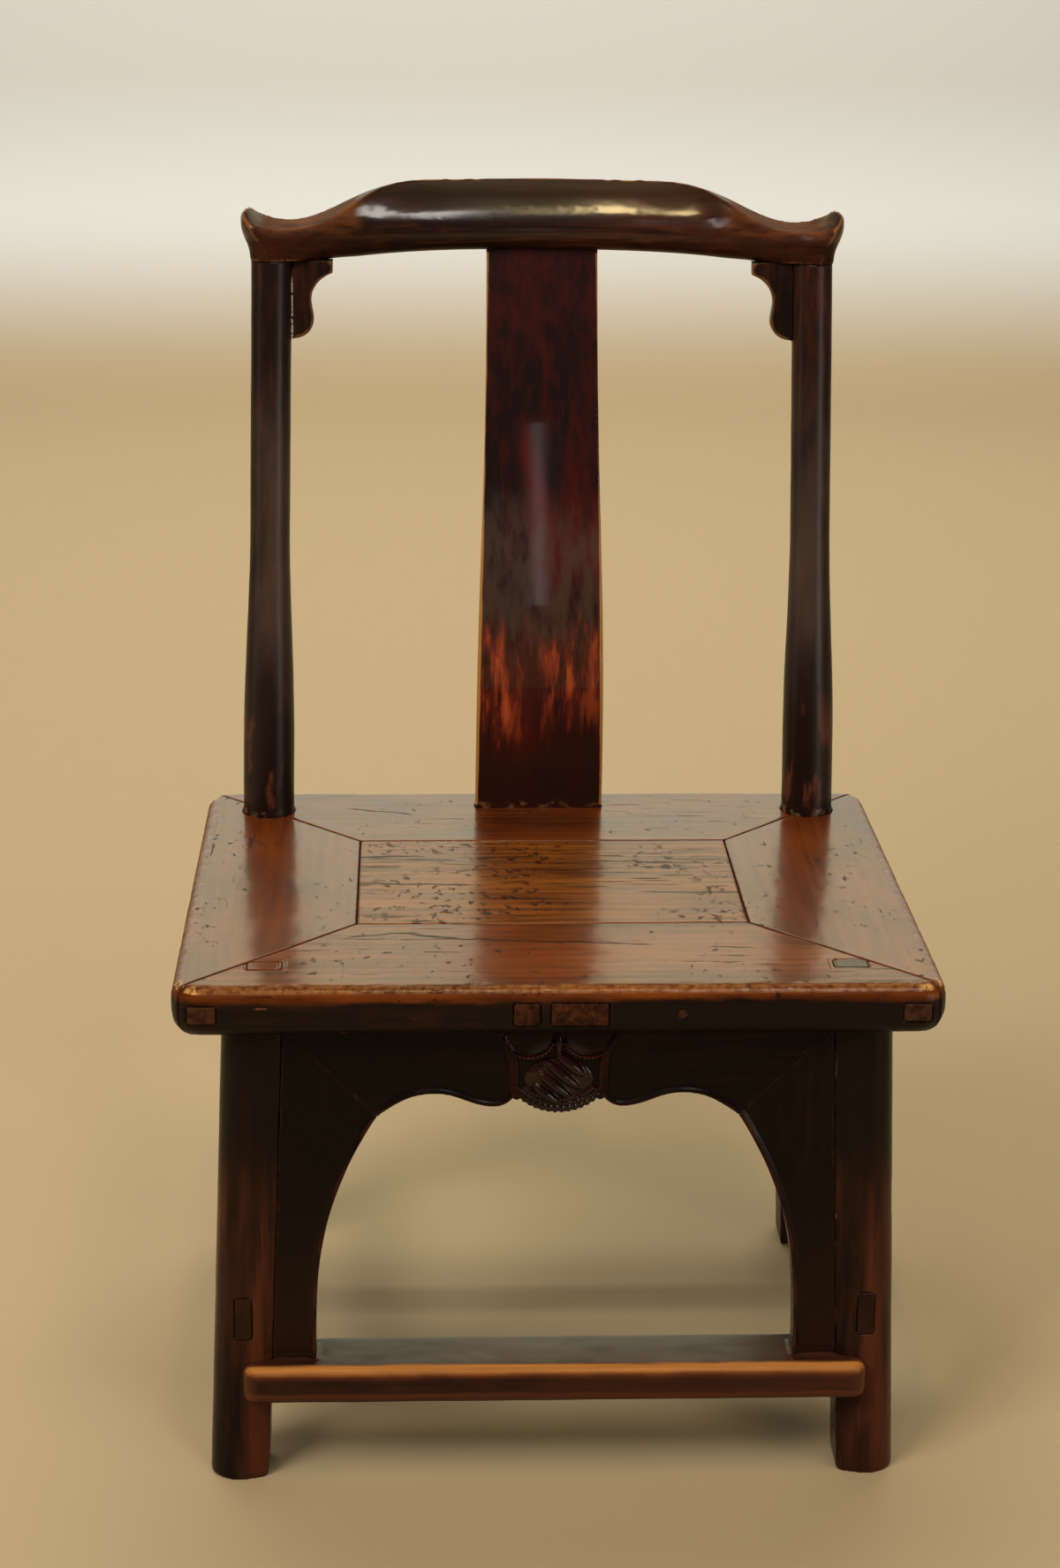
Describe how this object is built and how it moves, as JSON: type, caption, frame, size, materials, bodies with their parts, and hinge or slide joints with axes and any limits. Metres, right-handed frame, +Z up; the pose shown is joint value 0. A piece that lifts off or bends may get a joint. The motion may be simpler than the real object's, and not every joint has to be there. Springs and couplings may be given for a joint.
{
  "type": "child's side chair",
  "caption": "Low lacquered wooden side chair with a yoke-shaped crest rail, a curved back splat, a mitred framed panel seat, an arched front apron and a footrest.",
  "frame": {"origin": "on the floor, under the middle of the whole chair's outline in plan", "axes": "+Z up, +X to the right as seen from the front, -Y to the front, where the sitter faces"},
  "size_m": [0.436, 0.3824, 0.7158],
  "materials": {
    "crest_lacquer": "dark glossy lacquer, worn at the edges",
    "splat_lacquer": "dark glossy lacquer, worn at the edges",
    "post_lacquer": "dark glossy lacquer, worn at the edges",
    "seat_lacquer": "worn glossy lacquer over close-grained hardwood",
    "panel_lacquer": "worn glossy lacquer over close-grained hardwood",
    "peg_wood": "lacquered end grain",
    "underside_wood": "bare wood, darkened with age",
    "leg_lacquer": "dark glossy lacquer, worn at the edges",
    "apron_lacquer": "dark glossy lacquer, worn at the edges",
    "footrest_lacquer": "dark glossy lacquer, worn at the edges",
    "stretcher_lacquer": "dark glossy lacquer, worn at the edges"
  },
  "bodies": {
    "root": {"crest_rail": "crest_lacquer", "left_crest_bracket": "crest_lacquer", "right_crest_bracket": "crest_lacquer", "back_splat": "splat_lacquer", "rear_left_post": "post_lacquer", "rear_right_post": "post_lacquer", "seat_front_rail": "seat_lacquer", "seat_rear_rail": "seat_lacquer", "seat_left_rail": "seat_lacquer", "seat_right_rail": "seat_lacquer", "seat_panel": "panel_lacquer", "front_rail_peg": "peg_wood", "seat_brace": "underside_wood", "front_left_leg": "leg_lacquer", "front_right_leg": "leg_lacquer", "front_apron": "apron_lacquer", "front_left_bracket_board": "apron_lacquer", "front_right_bracket_board": "apron_lacquer", "left_side_apron": "apron_lacquer", "right_side_apron": "apron_lacquer", "rear_apron": "apron_lacquer", "footrest": "footrest_lacquer", "left_stretcher": "stretcher_lacquer", "right_stretcher": "stretcher_lacquer", "rear_stretcher": "stretcher_lacquer"}
  },
  "joints": []
}
